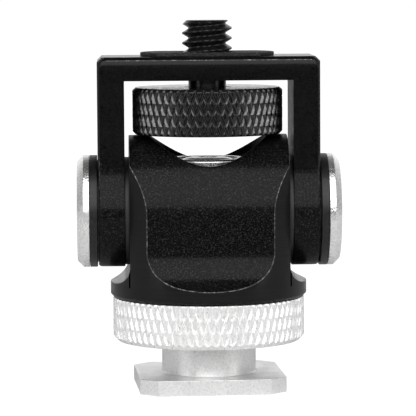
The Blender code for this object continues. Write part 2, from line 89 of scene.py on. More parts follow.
def rounded(profile, radii, steps=4, closed=True):
    """Round the corners of a (radius, height) profile. radii is one value or one for each corner."""
    n = len(profile)
    radii = [radii] * n if isinstance(radii, (int, float)) else list(radii)
    out = []
    for i, p in enumerate(profile):
        r = radii[i]
        if r <= 0 or (not closed and i in (0, n - 1)):
            out.append(p)
            continue
        p = Vector(p)
        a, b = Vector(profile[i - 1]), Vector(profile[(i + 1) % n])
        u, v = (a - p), (b - p)
        lu, lv = u.length, v.length
        u, v = u / lu, v / lv
        half = math.acos(max(-1.0, min(1.0, u.dot(v)))) / 2
        if half > math.radians(88):
            out.append(tuple(p))
            continue
        cut = min(r / math.tan(half), lu * 0.45, lv * 0.45)
        r = cut * math.tan(half)
        centre = p + (u + v).normalized() * (r / math.sin(half))
        s, e = p + u * cut - centre, p + v * cut - centre
        a0, a1 = math.atan2(s.y, s.x), math.atan2(e.y, e.x)
        while a1 - a0 > math.pi:
            a1 -= math.tau
        while a1 - a0 < -math.pi:
            a1 += math.tau
        for k in range(steps + 1):
            t = a0 + (a1 - a0) * k / steps
            out.append((centre.x + r * math.cos(t), centre.y + r * math.sin(t)))
    return out


def lathe(name, profile, n=160, matrix=None, sharp=32.0):
    """Revolve a profile (radius, height) in mm. It runs down the outer side. A profile that
    starts and ends on the axis is closed with poles, any other closes on itself."""
    pole = profile[0][0] <= 1e-9
    ring = profile[1:-1] if pole else profile
    m = len(ring)
    ang = np.arange(n) * (math.tau / n)
    verts = [(r * math.cos(t), r * math.sin(t), z) for t in ang for r, z in ring]
    faces = []
    for i in range(n):
        j = (i + 1) % n
        for k in range(m - 1 if pole else m):
            l = (k + 1) % m
            faces.append((i * m + k, i * m + l, j * m + l, j * m + k))
    if pole:
        top, low = len(verts), len(verts) + 1
        verts += [(0, 0, profile[0][1]), (0, 0, profile[-1][1])]
        for i in range(n):
            j = (i + 1) % n
            faces.append((top, i * m, j * m))
            faces.append((low, j * m + m - 1, i * m + m - 1))
    ob = from_arrays(name, verts, faces, sharp)
    if matrix is not None:
        ob.data.transform(matrix)
    return flat_wins(ob)


def flat_wins(ob, influence=False):
    """Weighted normals, so that flats stay flat beside their rounded edges."""
    mod = ob.modifiers.new("normals", "WEIGHTED_NORMAL")
    mod.mode = "FACE_AREA"
    mod.weight = 60
    mod.keep_sharp = True
    mod.use_face_influence = influence
    return ob


def bake_down(ob):
    """Apply every modifier on an object."""
    bpy.context.view_layer.update()
    dg = bpy.context.evaluated_depsgraph_get()
    mesh = bpy.data.meshes.new_from_object(ob.evaluated_get(dg))
    old = ob.data
    ob.modifiers.clear()
    ob.data = mesh
    if old.users == 0:
        bpy.data.meshes.remove(old)
    return ob


def cut(ob, other, operation="DIFFERENCE"):
    mod = ob.modifiers.new("cut", "BOOLEAN")
    mod.operation = operation
    mod.solver = "EXACT"
    mod.object = other
    bake_down(ob)
    mesh = other.data
    bpy.data.objects.remove(other, do_unlink=True)
    if mesh.users == 0:
        bpy.data.meshes.remove(mesh)
    return ob


def plain_lathe(name, profile, n, matrix=None):
    ob = lathe(name, profile, n, matrix)
    ob.modifiers.clear()
    return ob


def rod(name, radius, low, high, n=96, matrix=None):
    return plain_lathe(name, [(0, high), (radius, high), (radius, low), (0, low)], n, matrix)


def prism(name, outline, half, plane, location=(0, 0, 0)):
    """A closed outline extruded half each way. plane YZ, XZ or XY says what the outline's axes are."""
    area = sum(p[0] * q[1] - q[0] * p[1] for p, q in zip(outline, outline[1:] + outline[:1]))
    pts = outline if area > 0 else outline[::-1]
    n = len(pts)

    def place(u, v, w):
        if plane == "YZ":
            return (w, u, v)
        if plane == "XZ":
            return (u, -w, v)
        return (u, v, w)

    verts = [place(u, v, w) for w in (-half, half) for u, v in pts]
    verts = [tuple(Vector(v) + Vector(location)) for v in verts]
    faces = [tuple(range(n - 1, -1, -1)), tuple(range(n, 2 * n))]
    faces += [(i, (i + 1) % n, n + (i + 1) % n, n + i) for i in range(n)]
    return from_arrays(name, verts, faces)


def box(name, low, high):
    (x0, y0, z0), (x1, y1, z1) = low, high
    return prism(name, [(x0, y0), (x1, y0), (x1, y1), (x0, y1)], (z1 - z0) / 2, "XY", (0, 0, (z0 + z1) / 2))


def soften(ob, width, segments=2, angle=28.0, edge_material=None, flat=0.4, levels=()):
    """Round the hard edges a little; the new faces can take their own material. Faces within flat
    degrees of each other are joined first, then cut across at each of the levels."""
    bm = bmesh.new()
    bm.from_mesh(ob.data)
    bmesh.ops.remove_doubles(bm, verts=bm.verts, dist=0.002 * MM)
    bmesh.ops.dissolve_degenerate(bm, edges=bm.edges, dist=0.002 * MM)
    bmesh.ops.dissolve_limit(bm, angle_limit=math.radians(flat), verts=bm.verts, edges=bm.edges)
    for z in levels:
        bmesh.ops.bisect_plane(bm, geom=bm.verts[:] + bm.edges[:] + bm.faces[:], dist=1e-7,
                               plane_co=(0, 0, z * MM), plane_no=(0, 0, 1))
    bm.to_mesh(ob.data)
    bm.free()
    mod = ob.modifiers.new("soften", "BEVEL")
    mod.width = width * MM
    mod.segments = segments
    mod.limit_method = "ANGLE"
    mod.angle_limit = math.radians(angle)
    mod.use_clamp_overlap = False
    mod.loop_slide = True
    mod.miter_outer = "MITER_ARC"
    mod.face_strength_mode = "FSTR_ALL"
    if edge_material is not None:
        while len(ob.data.materials) <= edge_material:
            ob.data.materials.append(M["blast"])
        mod.material = edge_material
    bake_down(ob)
    ob.data.shade_smooth()
    ob.data.set_sharp_from_angle(angle=math.radians(40))
    return flat_wins(ob, True)


# ------------------------------------------------------------------ knurl and thread
def knurl_height(u, v, flat=0.46):
    """0 on a diamond's crown to 1 in its grooves. u and v count grooves of the two families."""
    a = 1 - 2 * np.abs(u - np.floor(u) - 0.5)
    b = 1 - 2 * np.abs(v - np.floor(v) - 0.5)
    a = 1 - a
    b = 1 - b
    g = np.maximum(a, b)
    return np.clip((g - flat) / (1 - flat), 0, 1)


def knurled(name, radius, low, high, teeth, row, depth, edge, per=14, shift=0.0, inner=None, edge_top=None):
    """A turned wheel whose rim is a raised diamond knurl. row is the height between crossings,
    edge the chamfer at the rim's two ends, inner the profile from the lower rim's inside up to the
    upper rim's inside."""
    cols = teeth * per
    pitch = math.tau * radius / teeth
    step = (pitch / per) / (pitch / (2 * row)) / 2
    rows = max(8, int(round((high - low) / step)))
    ang = np.arange(cols) * (math.tau / cols)
    zs = np.linspace(low, high, rows + 1)
    T, Z = np.meshgrid(ang, zs)
    k = 1 / (2 * row)
    u = T * teeth / math.tau + (Z - low + shift) * k
    v = T * teeth / math.tau - (Z - low + shift) * k
    R = radius - depth * knurl_height(u, v)
    lim = radius - np.clip(edge - (Z - low), 0, None)
    lim = np.minimum(lim, radius - np.clip((edge if edge_top is None else edge_top) - (high - Z), 0, None))
    R = np.minimum(R, lim)
    grid = np.stack([R * np.cos(T), R * np.sin(T), Z], -1)
    verts = grid.reshape(-1, 3)
    faces = []
    idx = np.arange((rows + 1) * cols).reshape(rows + 1, cols)
    for i in range(rows):
        for j in range(cols):
            jj = (j + 1) % cols
            a, b, c, d = idx[i, j], idx[i, jj], idx[i + 1, jj], idx[i + 1, j]
            ra, rb, rc, rd = R[i, j], R[i, jj], R[i + 1, jj], R[i + 1, j]
            tm = (j + 0.5) * math.tau / cols
            zm = (zs[i] + zs[i + 1]) / 2
            um = tm * teeth / math.tau + (zm - low + shift) * k
            vm = tm * teeth / math.tau - (zm - low + shift) * k
            rm = radius - depth * float(knurl_height(np.array(um), np.array(vm)))
            if abs((ra + rc) / 2 - rm) <= abs((rb + rd) / 2 - rm):
                faces += [(a, b, c), (a, c, d)]
            else:
                faces += [(a, b, d), (b, c, d)]
    # the rest of the section: from the top rim inwards, down the inside and back out below
    inner = inner[::-1]
    m = len(inner)
    base = len(verts)
    # the inner rings have one vertex for each column too, so that they meet the rim exactly
    ringv = [(r * math.cos(t), r * math.sin(t), z) for r, z in inner for t in ang]
    verts = np.vstack([verts, np.array(ringv)])
    last = idx[rows]
    for k2 in range(m):
        cur = np.arange(base + k2 * cols, base + (k2 + 1) * cols)
        for j in range(cols):
            jj = (j + 1) % cols
            faces.append((last[j], last[jj], cur[jj], cur[j]))
        last = cur
    first = idx[0]
    for j in range(cols):
        jj = (j + 1) % cols
        faces.append((last[j], last[jj], first[jj], first[j]))
    return from_arrays(name, verts, faces, 24.0)


def threaded(name, profile_low, z0, z1, major, pitch, top, tip, cols=120, per=22):
    """A right-hand 60 degree thread from z0 to the top, on a turned lower profile."""
    depth = 0.6134 * pitch
    root = major - depth
    dz = pitch / per
    rows = int(round((top - z0) / dz))
    zs = np.linspace(z0, top, rows + 1)
    ang = np.arange(cols) * (math.tau / cols)
    T, Z = np.meshgrid(ang, zs)
    ph = (Z - z0) / pitch - T / math.tau
    ph = ph - np.floor(ph)
    tri = np.abs(ph - 0.5) * 2          # 0 on the crest
    prof = np.clip((tri - 0.14) / (0.86 - 0.14), 0, 1)
    R = major - depth * prof
    run = np.clip((Z - z0) / (pitch * 0.8), 0, 1)
    R = root + (R - root) * run
    R = np.minimum(R, major - np.clip(tip - (top - Z), 0, None))
    R = np.minimum(R, major)
    verts = np.stack([R * np.cos(T), R * np.sin(T), Z], -1).reshape(-1, 3)
    idx = np.arange((rows + 1) * cols).reshape(rows + 1, cols)
    faces = []
    for i in range(rows):
        for j in range(cols):
            jj = (j + 1) % cols
            a, b, c, d = idx[i, j], idx[i, jj], idx[i + 1, jj], idx[i + 1, j]
            # the shorter diagonal in radius follows the helix
            if abs(R[i, j] - R[i + 1, jj]) < abs(R[i, jj] - R[i + 1, j]):
                faces += [(a, b, c), (a, c, d)]
            else:
                faces += [(a, b, d), (b, c, d)]
    verts = list(map(tuple, verts))
    # end face, flat: its rings all sit at the top
    last = idx[rows]
    for r_in, dz_in in ((root * 0.93, 0.06), (root * 0.5, 0.10)):
        cur = np.arange(len(verts), len(verts) + cols)
        verts += [(r_in * math.cos(t), r_in * math.sin(t), top - 0.0 - dz_in * 0) for t in ang]
        for j in range(cols):
            jj = (j + 1) % cols
            faces.append((last[j], last[jj], cur[jj], cur[j]))
        last = cur
    verts.append((0, 0, top))
    for j in range(cols):
        faces.append((last[j], last[(j + 1) % cols], len(verts) - 1))
    # lower shank, from the thread's foot down
    last = idx[0]
    for r, z in profile_low:
        cur = np.arange(len(verts), len(verts) + cols)
        verts += [(r * math.cos(t), r * math.sin(t), z) for t in ang]
        for j in range(cols):
            jj = (j + 1) % cols
            faces.append((last[jj], last[j], cur[j], cur[jj]))
        last = cur
    verts.append((0, 0, profile_low[-1][1]))
    for j in range(cols):
        faces.append((last[(j + 1) % cols], last[j], len(verts) - 1))
    return from_arrays(name, verts, faces, 35.0)


# ------------------------------------------------------------------ materials
def node(tree, kind, **values):
    n = tree.nodes.new(kind)
    for key, value in values.items():
        if hasattr(n, key):
            setattr(n, key, value)
        else:
            n.inputs[key.replace("_", " ")].default_value = value
    return n


class Finish:
    """A small builder round a Principled material with object-space texture in millimetres."""

    def __init__(self, name, colour, metallic, roughness, specular=0.5):
        self.mat = bpy.data.materials.new(name)
        self.mat.use_nodes = True
        self.t = self.mat.node_tree
        self.p = self.t.nodes["Principled BSDF"]
        self.p.inputs["Base Color"].default_value = (*colour, 1)
        self.p.inputs["Metallic"].default_value = metallic
        self.p.inputs["Roughness"].default_value = roughness
        self.p.inputs["Specular IOR Level"].default_value = specular
        self.coord = self.t.nodes.new("ShaderNodeTexCoord").outputs["Object"]
        self.height = []

    def scaled(self, x, y, z):
        m = self.t.nodes.new("ShaderNodeMapping")
        m.inputs["Scale"].default_value = (x, y, z)
        self.t.links.new(self.coord, m.inputs["Vector"])
        return m.outputs["Vector"]

    def noise(self, size, detail=2.0, rough=0.5, vector=None, lac=2.0):
        """Noise whose features are about size mm across."""
        n = self.t.nodes.new("ShaderNodeTexNoise")
        n.inputs["Scale"].default_value = 1.0 / (size * MM)
        n.inputs["Detail"].default_value = detail
        n.inputs["Roughness"].default_value = rough
        n.inputs["Lacunarity"].default_value = lac
        self.t.links.new(vector or self.coord, n.inputs["Vector"])
        return n.outputs["Fac"]

    def cells(self, size, feature="F1", vector=None):
        n = self.t.nodes.new("ShaderNodeTexVoronoi")
        n.feature = feature
        n.inputs["Scale"].default_value = 1.0 / (size * MM)
        self.t.links.new(vector or self.coord, n.inputs["Vector"])
        return n.outputs["Distance"]

    def ramp(self, fac, stops, ease="LINEAR"):
        r = self.t.nodes.new("ShaderNodeValToRGB")
        r.color_ramp.interpolation = ease
        e = r.color_ramp.elements
        e[0].position, e[-1].position = stops[0][0], stops[-1][0]
        for pos, _ in stops[1:-1]:
            e.new(pos)
        for el, (pos, col) in zip(sorted(e, key=lambda q: q.position), stops):
            el.color = (*col, 1) if isinstance(col, tuple) else (col, col, col, 1)
        self.t.links.new(fac, r.inputs["Fac"])
        return r.outputs["Color"]

    def spread(self, fac, low, high, a=0.3, b=0.7):
        m = self.t.nodes.new("ShaderNodeMapRange")
        m.inputs["From Min"].default_value = a
        m.inputs["From Max"].default_value = b
        m.inputs["To Min"].default_value = low
        m.inputs["To Max"].default_value = high
        self.t.links.new(fac, m.inputs["Value"])
        return m.outputs["Result"]

    def mix(self, fac, a, b, blend="MIX"):
        m = self.t.nodes.new("ShaderNodeMix")
        m.data_type = "RGBA"
        m.blend_type = blend
        for value, sock in ((fac, m.inputs[0]), (a, m.inputs[6]), (b, m.inputs[7])):
            if isinstance(value, (int, float)):
                sock.default_value = value
            elif isinstance(value, tuple):
                sock.default_value = (*value, 1)
            else:
                self.t.links.new(value, sock)
        return m.outputs[2]

    def colour(self, socket):
        self.t.links.new(socket, self.p.inputs["Base Color"])

    def rough(self, socket):
        self.t.links.new(socket, self.p.inputs["Roughness"])

    def bump(self, socket, depth, strength=1.0):
        """depth is the height in mm of the texture's full range."""
        b = self.t.nodes.new("ShaderNodeBump")
        b.inputs["Strength"].default_value = strength
        b.inputs["Distance"].default_value = depth * MM
        self.t.links.new(socket, b.inputs["Height"])
        if self.height:
            self.t.links.new(self.height[-1], b.inputs["Normal"])
        self.height.append(b.outputs["Normal"])
        self.t.links.new(b.outputs["Normal"], self.p.inputs["Normal"])


def black_blasted(name="black_blasted", base=0.003, rough=0.34, depth=0.020, specular=0.05, coat=0.12, coat_rough=0.15,
                  painted_sparkle=0.036, size=0.19):
    """Black anodised aluminium, bead-blasted: a fine grain in the colour whose brightest specks are painted sparkle
    glints, and a sealed skin that shines at a grazing angle.
    """
    f = Finish(name, (base, base, base * 1.08), 0.0, rough, specular)
    f.p.inputs["Coat Weight"].default_value = coat
    f.p.inputs["Coat Roughness"].default_value = coat_rough
    fine = f.noise(size, 2.0, 0.6)
    coarse = f.noise(1.7, 2.0, 0.5)
    # the low stops of this ramp are random tone; the top stops paint sparkle glints into the colour
    f.colour(f.ramp(fine, [(0.40, (base * 0.4, base * 0.4, base * 0.45)), (0.52, (base * 1.2, base * 1.2, base * 1.3)),
                           (0.62, (painted_sparkle * 0.42, painted_sparkle * 0.42, painted_sparkle * 0.44)), (0.74, (painted_sparkle, painted_sparkle, painted_sparkle * 1.03))]))
    f.rough(f.spread(coarse, rough - 0.05, rough + 0.06))
    f.bump(fine, depth)
    f.bump(f.noise(0.55, 2.0, 0.5), depth * 1.3)
    return f.mat


def black_wheel(name="black_wheel", base=0.075, rough=0.15):
    """Black anodised and polished by handling, so that its knurl glints."""
    f = Finish(name, (base, base, base), 0.85, rough, 0.5)
    fine = f.noise(0.25, 2.5, 0.6)
    f.colour(f.ramp(fine, [(0.35, (base * 0.7,) * 3), (0.55, (base,) * 3), (0.72, (base * 1.6,) * 3)]))
    f.rough(f.spread(f.noise(0.8, 2.0, 0.5), rough - 0.04, rough + 0.08))
    f.bump(fine, 0.004)
    return f.mat


def black_turned(name="black_turned"):
    """Black anodised aluminium off the lathe: faint rings round the swivel axis."""
    f = Finish(name, (0.005, 0.005, 0.0055), 0.0, 0.34, 0.14)
    f.p.inputs["Coat Weight"].default_value = 0.08
    f.p.inputs["Coat Roughness"].default_value = 0.16
    rings = f.noise(1.0, 2.0, 0.5, f.scaled(0.05, 0.05, 9.0))
    fine = f.noise(0.11, 2.0, 0.5)
    f.colour(f.ramp(rings, [(0.3, (0.004, 0.004, 0.0045)), (0.7, (0.0075, 0.0075, 0.008))]))
    f.rough(f.spread(fine, 0.30, 0.40))
    f.bump(rings, 0.003)
    f.bump(fine, 0.002)
    return f.mat


def worn_edge(name="worn_edge"):
    """Anodising rubbed thin along an edge: dark, with broken bright aluminium."""
    f = Finish(name, (0.08, 0.08, 0.085), 0.0, 0.36, 0.4)
    wear = f.noise(0.5, 4.0, 0.65)
    mask = f.spread(wear, 0.0, 0.6, 0.44, 0.62)
    f.colour(f.ramp(wear, [(0.38, (0.006, 0.006, 0.0063)), (0.50, (0.035, 0.035, 0.037)), (0.62, (0.18, 0.18, 0.187))]))
    f.t.links.new(mask, f.p.inputs["Metallic"])
    f.rough(f.spread(f.noise(0.15, 2.0), 0.28, 0.42))
    f.bump(f.noise(0.2, 3.0), 0.006)
    return f.mat


def silver_blasted(name="silver_blasted", base=0.90, rough=0.34, depth=0.022, metallic=0.80, size=0.24):
    """Bright bead-blasted aluminium with a sparkle."""
    f = Finish(name, (base, base, base), metallic, rough, 0.5)
    fine = f.noise(size, 3.0, 0.68)
    coarse = f.noise(2.2, 2.0, 0.5)
    f.colour(f.ramp(fine, [(0.25, (base * 0.74, base * 0.73, base * 0.73)), (0.5, (base * 0.96, base * 0.955, base * 0.95)),
                           (0.75, (min(1, base * 1.06),) * 3)]))
    f.rough(f.spread(coarse, rough - 0.06, rough + 0.06))
    f.bump(fine, depth)
    f.bump(f.noise(0.33, 2.0, 0.5), depth * 1.3)
    return f.mat


def silver_edge(name="silver_edge"):
    """The brighter, burnished line along a silver edge."""
    f = Finish(name, (0.93, 0.93, 0.93), 1.0, 0.3, 0.5)
    n = f.noise(0.3, 3.0, 0.6)
    f.colour(f.ramp(n, [(0.3, (0.80, 0.80, 0.80)), (0.7, (0.97, 0.97, 0.97))]))
    f.rough(f.spread(n, 0.24, 0.38))
    f.bump(n, 0.004)
    return f.mat


def bright_steel(name="bright_steel"):
    """Zinc-plated steel, turned: a fine grain and a few darker clouds."""
    f = Finish(name, (0.70, 0.70, 0.72), 1.0, 0.25, 0.5)
    n = f.noise(0.9, 3.0, 0.55)
    fine = f.noise(0.10, 2.0, 0.5)
    f.colour(f.ramp(n, [(0.3, (0.55, 0.55, 0.57)), (0.7, (0.80, 0.80, 0.82))]))
    f.rough(f.spread(fine, 0.2, 0.34))
    f.bump(fine, 0.003)
    return f.mat


def black_steel(name="black_steel"):
    """Black oxide on steel: a random mottle, slightly brown where it is rubbed."""
    f = Finish(name, (0.012, 0.012, 0.012), 0.3, 0.28, 0.5)
    n = f.noise(0.5, 3.0, 0.6)
    fine = f.noise(0.10, 3.0, 0.6)
    f.colour(f.ramp(n, [(0.3, (0.005, 0.005, 0.0052)), (0.62, (0.012, 0.0118, 0.0115)), (0.8, (0.04, 0.039, 0.038))]))
    f.rough(f.spread(fine, 0.20, 0.34))
    f.bump(fine, 0.006)
    return f.mat


def rubber(name="rubber"):
    """Grainy black rubber."""
    f = Finish(name, (0.02, 0.02, 0.02), 0.0, 0.75, 0.35)
    grain = f.noise(0.22, 3.0, 0.6)
    f.colour(f.ramp(grain, [(0.38, (0.003, 0.003, 0.003)), (0.55, (0.009, 0.009, 0.0088)), (0.72, (0.11, 0.11, 0.108))]))
    f.rough(f.spread(f.noise(0.6, 2.0), 0.62, 0.85))
    f.bump(grain, 0.035)
    return f.mat


def nylon(name="nylon"):
    f = Finish(name, (0.03, 0.03, 0.032), 0.0, 0.5, 0.4)
    n = f.noise(0.3, 3.0, 0.55)
    f.colour(f.ramp(n, [(0.3, (0.016, 0.016, 0.017)), (0.7, (0.032, 0.032, 0.034))]))
    f.rough(f.spread(n, 0.42, 0.58))
    f.bump(n, 0.008)
    return f.mat


def bronze(name="bronze"):
    f = Finish(name, (0.72, 0.52, 0.26), 1.0, 0.3, 0.5)
    n = f.noise(0.4, 3.0, 0.6)
    f.colour(f.ramp(n, [(0.3, (0.50, 0.34, 0.16)), (0.7, (0.78, 0.58, 0.30))]))
    f.rough(f.spread(n, 0.24, 0.42))
    f.bump(n, 0.004)
    return f.mat


M = {
    "blast": black_blasted(),
    "satin": black_blasted("black_satin", base=0.005, rough=0.30, depth=0.008, specular=0.06, coat=0.26, coat_rough=0.10,
                           painted_sparkle=0.012, size=0.22),
    "wheel": black_wheel(base=0.042, rough=0.17),
    # a lighter copy of the wheel finish for the knurl flanks that face up: painted glint where the top light falls
    "painted_glint": black_wheel("black_wheel_painted_glint", base=0.105, rough=0.20),
    "turned": black_turned(),
    "ring_black": black_blasted("black_ring", base=0.008, rough=0.40, depth=0.004, specular=0.30, coat=0.1, painted_sparkle=0.03),
    "edge": worn_edge(),
    "silver": silver_blasted(),
    "silver_knurl": silver_blasted("silver_knurl", base=0.95, rough=0.30, depth=0.006, metallic=0.62),
    "silver_edge": silver_edge(),
    "silver_cap": silver_blasted("silver_cap", base=0.92, rough=0.27, depth=0.030, metallic=0.92, size=0.34),
    "steel": bright_steel(),
    "oxide": black_steel(),
    "rubber": rubber(),
    "nylon": nylon(),
    "bronze": bronze(),
}


def dress(ob, *mats):
    """Give a new piece its materials. Face material indices stay as they are."""
    keep = [p.material_index for p in ob.data.polygons]
    ob.data.materials.clear()
    for m in mats:
        ob.data.materials.append(M[m])
    ob.data.polygons.foreach_set("material_index", [min(i, len(mats) - 1) for i in keep])
    return ob


def stand_for(ob, body, *nodes, mats):
    dress(ob, *mats)
    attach(ob, body)
    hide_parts(*nodes)
    return ob


# ------------------------------------------------------------------ shoe foot
a, b, c = FOOT_X / 2, FOOT_Y / 2, FOOT_CORNER
turn_c, turn_s = math.cos(math.radians(FOOT_TURN)), math.sin(math.radians(FOOT_TURN))
plate = prism("foot_fine", [(x * turn_c - y * turn_s, x * turn_s + y * turn_c) for x, y in
                            [(-a + c, -b), (a - c, -b), (a, -b + c), (a, b - c), (a - c, b), (-a + c, b),
                             (-a, b - c), (-a, -b + c)]], FOOT_T / 2, "XY", (0, 0, FOOT_T / 2))
neck = plain_lathe("neck_tool", [(0, STEM_TOP), (STEM_R - 0.3, STEM_TOP), (STEM_R, STEM_TOP - 0.3), (STEM_R, NECK_TOP),
                                 (NECK_R - 0.2, NECK_TOP), (NECK_R, NECK_TOP - 0.2), (NECK_R, FOOT_T + 0.12),
                                 (NECK_R + 0.1, FOOT_T + 0.02), (NECK_R + 0.1, 1.0), (0, 1.0)], 144)
cut(plate, neck, "UNION")
cut(plate, rod("stem_tool", 2.06, 3.0, 13.0, 48))
soften(plate, 0.09, 2, 40)
stand_for(plate, "foot", "shoe_foot", mats=["silver"])

# ------------------------------------------------------------------ lock ring, slip pad
ring = knurled("lock_ring_fine", RING_R, RING_LOW + 0.45, RING_HIGH, 74, 1.59, 0.25, 0.20, per=14, edge_top=0.07,
               inner=[(RING_R - 0.62, RING_LOW + 0.02), (RING_R - 0.9, RING_LOW), (10.0, RING_LOW), (10.0, 6.9), (6.4, 6.9), (6.4, 9.55), (4.1, 9.55),
                      (4.1, RING_HIGH), (RING_R - 1.2, RING_HIGH)])
stand_for(ring, "ring", "lock_ring", mats=["silver_knurl"])
pad = lathe("ring_pad_fine", rounded([(9.95, 6.85), (9.95, 6.1), (6.45, 6.1), (6.45, 6.85)], 0.08), 128)
stand_for(pad, "slip_pad", "ring_pad", mats=["nylon"])

# ------------------------------------------------------------------ swivel body
far = BODY_R + 0.7
body = plain_lathe("swivel_body_fine", rounded([(0, TILT_Z + BARREL_R + 1), (BODY_R, TILT_Z + BARREL_R + 1),
                                               (BODY_R, BODY_LOW + 0.42), (BODY_R - 0.42, BODY_LOW), (0, BODY_LOW)],
                                              [0, 0, 0.12, 0.1, 0], 3), 256)
cy, cz = BARREL_R + FRONT_FILLET_R, TILT_Z - FRONT_DROP
sweep = math.degrees(math.acos((cy - far) / FRONT_FILLET_R))
right = arc(cy, cz, FRONT_FILLET_R, 180 + sweep, 180, 30)
outline = [(-far, BODY_LOW - 1), (far, BODY_LOW - 1)] + right + arc(0, TILT_Z, BARREL_R, 0, 180, 120) \
    + [(-y, z) for y, z in reversed(right)]
cut(body, prism("barrel_tool", outline, 15, "YZ"), "INTERSECT")
cx, cz = BARREL_HALF + SIDE_FILLET_R, TILT_Z - SIDE_DROP
right = [(far, cz - SIDE_FILLET_R)] + arc(cx, cz, SIDE_FILLET_R, 270, 180, 20)
top = TILT_Z + BARREL_R + 2
outline = [(-far, BODY_LOW - 1), (far, BODY_LOW - 1)] + right + [(BARREL_HALF, top), (-BARREL_HALF, top)] \
    + [(-x, z) for x, z in reversed(right)]
cut(body, prism("side_tool", outline, 15, "XZ"), "INTERSECT")
cut(body, rod("saddle_tool", SADDLE_R, SADDLE_FLOOR, top, 192))
cut(body, rod("bore_tool", 2.15, BODY_LOW - 1, top, 64))
cut(body, rod("seat_tool", 6.15, BODY_LOW - 1, 12.43, 96))
for s in (1, -1):
    m = Matrix.Translation((0, 0, TILT_Z * MM)) @ Matrix.Rotation(s * math.pi / 2, 4, "Y")
    cut(body, rod("axle_tool", 2.06, 5.0, 12.0, 64, m))
soften(body, 0.07, 2, 22, edge_material=1, levels=(12.6, 13.1, 13.5))
stand_for(body, "swivel", "swivel_body", mats=["blast", "edge", "turned", "satin"])
for p in body.data.polygons:
    x, y, z = p.center / MM
    if p.material_index == 0 and abs(x) > BARREL_HALF - 0.03 and z > BODY_LOW + 1 and abs(p.normal.y) < 0.3:
        p.material_index = 3
    if p.material_index == 0 and math.hypot(x, y) > BODY_R - 0.06 and abs(p.normal.z) < 0.2:
        p.material_index = 2

# ------------------------------------------------------------------ swivel stack
cup = lathe("cup_washer_fine", rounded([(5.25, 29.30), (5.25, 26.65), (2.2, 26.65), (2.2, 27.15), (4.05, 27.15), (4.05, 29.30)],
                                       [0.35, 0.1, 0.05, 0.05, 0.05, 0.3], 5), 128)
stand_for(cup, "foot", "swivel_cup_washer", mats=["steel"])
bolt = plain_lathe("swivel_bolt_fine", [(0, 29.40), (2.0, 29.40), (2.4, 29.37), (2.8, 29.29), (3.2, 29.14), (3.5, 28.92), (3.7, 28.62),
                                        (3.8, 28.2), (3.8, 27.2), (2.0, 27.2), (2.0, 3.6), (1.7, 3.3), (0, 3.3)], 96)
hexa = plain_lathe("hex_tool", [(0, 31), (2.5 / math.sqrt(3), 31), (2.5 / math.sqrt(3), 28.1), (0, 27.6)], 6)
cut(bolt, hexa)
soften(bolt, 0.06, 2, 35)
stand_for(bolt, "foot", "swivel_bolt", mats=["steel"])

# ------------------------------------------------------------------ yoke
# The front and back are crowned: rounded over along the top edge, tight down the legs' outer edges.
hx, hy, low = YOKE_X / 2, YOKE_Y / 2, TILT_Z
CORNER = 0.6
ROUND_TOP, ROUND_SIDE = 1.62, 0.95


def edge_drop(d):
    """How far the face falls away at a share d of the way in from the edge: a soft roll, then a bevel."""
    return 0.17 * (1 - d) ** 2.2 + max(0.0, 0.26 - d) / 0.26 * 0.37


def yoke_depth(x, z):
    """Half the yoke's depth at a point of its front outline."""
    t = min(1.0, max(0.0, (YOKE_TOP - z) / ROUND_TOP))
    w = min(1.0, max(0.0, (hx - abs(x)) / ROUND_SIDE))
    d = 1.0 - min(1.0, math.hypot(1 - t, 1 - w))
    d = max(0.0, d)
    drop = edge_drop(d)
    below = YOKE_TOP - z - ROUND_TOP
    lean = 0.0
    if below > 0:
        a1, b1 = 1.15, 0.75
        lean = 0.045 * (min(below, a1) / a1) ** 2
        if below > a1:
            q = min(1.0, (below - a1) / b1)
            lean += 0.045 * 2 / a1 * b1 * (q - q * q / 2)
    return hy - drop - lean


def spaced(stops):
    out = []
    for (a0, b0, n0) in stops:
        out += list(np.linspace(a0, b0, n0, endpoint=False))
    return out


zs = spaced([(low, YOKE_TOP - 4.0, 24), (YOKE_TOP - 4.0, YOKE_TOP - PLATE_T, 10), (YOKE_TOP - PLATE_T, YOKE_TOP - 1.7, 14),
             (YOKE_TOP - 1.7, YOKE_TOP - CORNER, 16), (YOKE_TOP - CORNER, YOKE_TOP, 10)]) + [YOKE_TOP]
rim_u = 0.26 * ROUND_SIDE / YOKE_X
inner = hx - LEG_T
under = YOKE_TOP - PLATE_T
leg_u = LEG_T / YOKE_X
us = spaced([(0, rim_u, 3), (rim_u, 0.07, 12), (0.07, leg_u, 4), (leg_u, 1 - leg_u, 24), (1 - leg_u, 0.93, 4),
             (0.93, 1 - rim_u, 12), (1 - rim_u, 1.0, 3)]) + [1.0]
verts = []
for side in (-1, 1):
    for z in zs:
        half = hx - max(0.0, z - (YOKE_TOP - CORNER))
        for u in us:
            x = (2 * u - 1) * half
            # the depth is read with the corner chamfer's run counted as the outer edge
            verts.append((x, side * yoke_depth(x + (hx - half) * (1 if x > 0 else -1) * 0.55, z), z))
nu, nz = len(us), len(zs)
o = nu * nz
faces, open_edges = [], {}
for i in range(nz - 1):
    for j in range(nu - 1):
        if zs[i + 1] <= under + 1e-6 and us[j] >= leg_u - 1e-6 and us[j + 1] <= 1 - leg_u + 1e-6:
            continue
        q = (i * nu + j, i * nu + j + 1, (i + 1) * nu + j + 1, (i + 1) * nu + j)
        faces.append(q)
        faces.append(tuple(o + k for k in q)[::-1])
        for e in zip(q, q[1:] + q[:1]):
            if (e[1], e[0]) in open_edges:
                del open_edges[(e[1], e[0])]
            else:
                open_edges[e] = True
for a0, b0 in open_edges:
    faces.append((b0, a0, o + a0, o + b0))
used = sorted({k for f in faces for k in f})
where = {k: n for n, k in enumerate(used)}
yoke = from_arrays("yoke_fine", [verts[k] for k in used], [tuple(where[k] for k in f) for f in faces])
